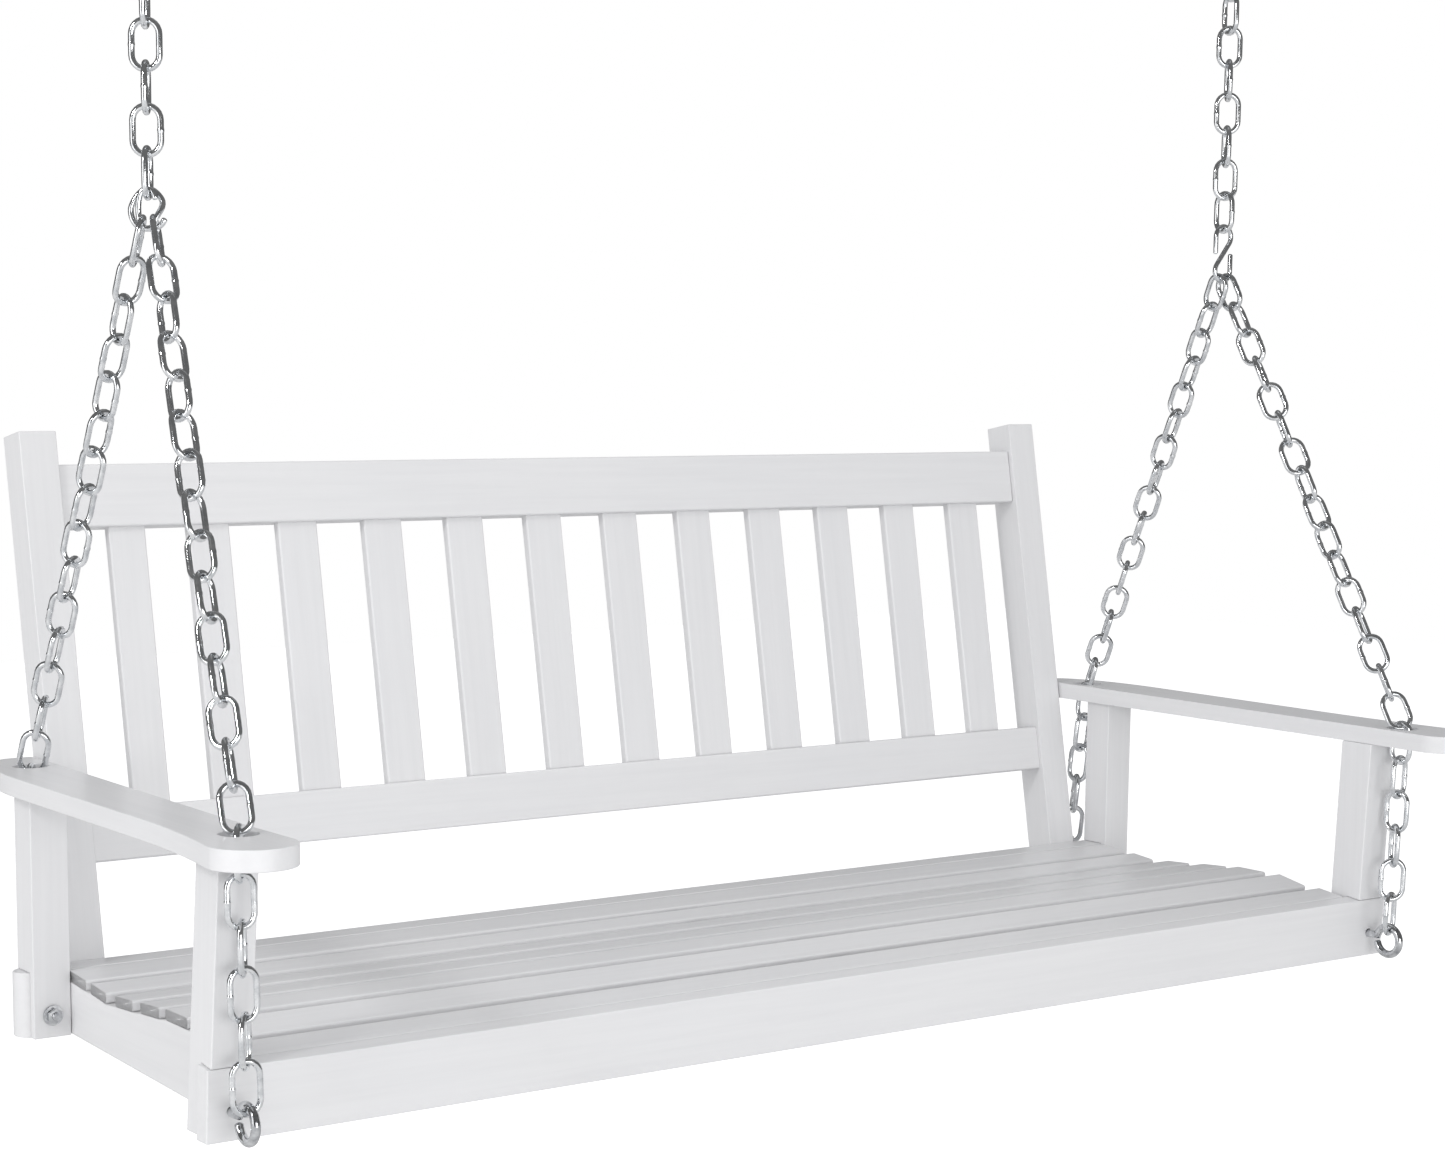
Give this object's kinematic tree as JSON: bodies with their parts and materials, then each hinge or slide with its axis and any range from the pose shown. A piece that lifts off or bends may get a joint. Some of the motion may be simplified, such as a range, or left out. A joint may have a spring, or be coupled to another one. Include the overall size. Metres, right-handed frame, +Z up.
{
  "type": "porch swing seat",
  "caption": "White painted slatted bench seat with flat arms and a leaning back, hung by steel chains from hooks under a ceiling.",
  "frame": {"origin": "centre of the bottom face of the bounding box, level with the lower edge of the front apron", "axes": "+Z up, +Y from the front apron towards the back, +X along the bench to its right end as seen from the front"},
  "size_m": [1.537, 0.6786, 1.192],
  "materials": {
    "white_paint": "white satin paint over planed softwood, edges eased",
    "bright_zinc": "bright zinc plated welded chain, lap link and S-hook",
    "dark_zinc": "dull zinc plated hooks and bolts"
  },
  "bodies": {
    "ceiling": {"ceiling_hook_left": "dark_zinc", "ceiling_hook_right": "dark_zinc"},
    "top_link_left": {"top_link_left": "bright_zinc"},
    "upper_chain_left": {"upper_chain_left": "bright_zinc"},
    "lap_link_left": {"lap_link_left": "bright_zinc"},
    "seat": {"arm_left": "white_paint", "arm_post_bolt_left": "dark_zinc", "arm_post_bolt_right": "dark_zinc", "arm_right": "white_paint", "back_post_bolt_left": "dark_zinc", "back_post_bolt_right": "dark_zinc", "back_post_left": "white_paint", "back_post_right": "white_paint", "back_slat_01": "white_paint", "back_slat_02": "white_paint", "back_slat_03": "white_paint", "back_slat_04": "white_paint", "back_slat_05": "white_paint", "back_slat_06": "white_paint", "back_slat_07": "white_paint", "back_slat_08": "white_paint", "back_slat_09": "white_paint", "back_slat_10": "white_paint", "back_slat_11": "white_paint", "back_slat_12": "white_paint", "centre_bearer": "white_paint", "front_apron": "white_paint", "front_chain_left": "bright_zinc", "front_chain_right": "bright_zinc", "front_post_left": "white_paint", "front_post_right": "white_paint", "front_screw_hook_left": "dark_zinc", "front_screw_hook_right": "dark_zinc", "lower_back_rail": "white_paint", "rear_arm_post_left": "white_paint", "rear_arm_post_right": "white_paint", "rear_chain_left": "bright_zinc", "rear_chain_right": "bright_zinc", "rear_rail": "white_paint", "rear_screw_hook_left": "dark_zinc", "rear_screw_hook_right": "dark_zinc", "seat_slat_1": "white_paint", "seat_slat_2": "white_paint", "seat_slat_3": "white_paint", "seat_slat_4": "white_paint", "seat_slat_5": "white_paint", "seat_slat_6": "white_paint", "seat_slat_7": "white_paint", "side_rail_left": "white_paint", "side_rail_right": "white_paint", "top_rail": "white_paint"},
    "s_hook_right": {"s_hook_right": "bright_zinc"},
    "upper_chain_right": {"upper_chain_right": "bright_zinc"},
    "top_link_right": {"top_link_right": "bright_zinc"}
  },
  "joints": [
    {"name": "swing", "type": "hinge", "parent": "ceiling", "child": "top_link_left", "pos_m": [-0.672, -0.00623, 1.1255], "axis": [0.9999, 0, 0.0119], "range_deg": [-20, 20]},
    {"name": "sway", "type": "hinge", "parent": "top_link_left", "child": "upper_chain_left", "pos_m": [-0.672, -0.00623, 1.0894], "axis": [0, 1, 0], "range_deg": [-6, 6]},
    {"name": "lap_link_turn", "type": "hinge", "parent": "upper_chain_left", "child": "lap_link_left", "pos_m": [-0.672, -0.00623, 0.7928], "axis": [0, 1, 0], "range_deg": [-7, 7]},
    {"name": "tilt", "type": "hinge", "parent": "lap_link_left", "child": "seat", "pos_m": [-0.672, -0.00623, 0.76885], "axis": [0.9999, 0, -0.0114], "range_deg": [-14, 14]},
    {"name": "s_hook_turn", "type": "hinge", "parent": "seat", "child": "s_hook_right", "pos_m": [0.672, -0.00623, 0.75355], "axis": [0.9999, 0, -0.0114], "range_deg": [-15, 15]},
    {"name": "right_sway", "type": "hinge", "parent": "s_hook_right", "child": "upper_chain_right", "pos_m": [0.672, -0.00623, 0.8088], "axis": [0, 1, 0], "range_deg": [-7, 7]},
    {"name": "right_swing", "type": "hinge", "parent": "ceiling", "child": "top_link_right", "pos_m": [0.672, -0.00623, 1.1415], "axis": [0.9999, 0, 0.0119], "range_deg": [-21, 21]}
  ],
  "couplings": [
    {"joint": "lap_link_turn", "follows": "sway", "ratio": -1},
    {"joint": "s_hook_turn", "follows": "tilt", "ratio": -1},
    {"joint": "right_sway", "follows": "sway", "ratio": 1},
    {"joint": "right_swing", "follows": "swing", "ratio": 1}
  ]
}
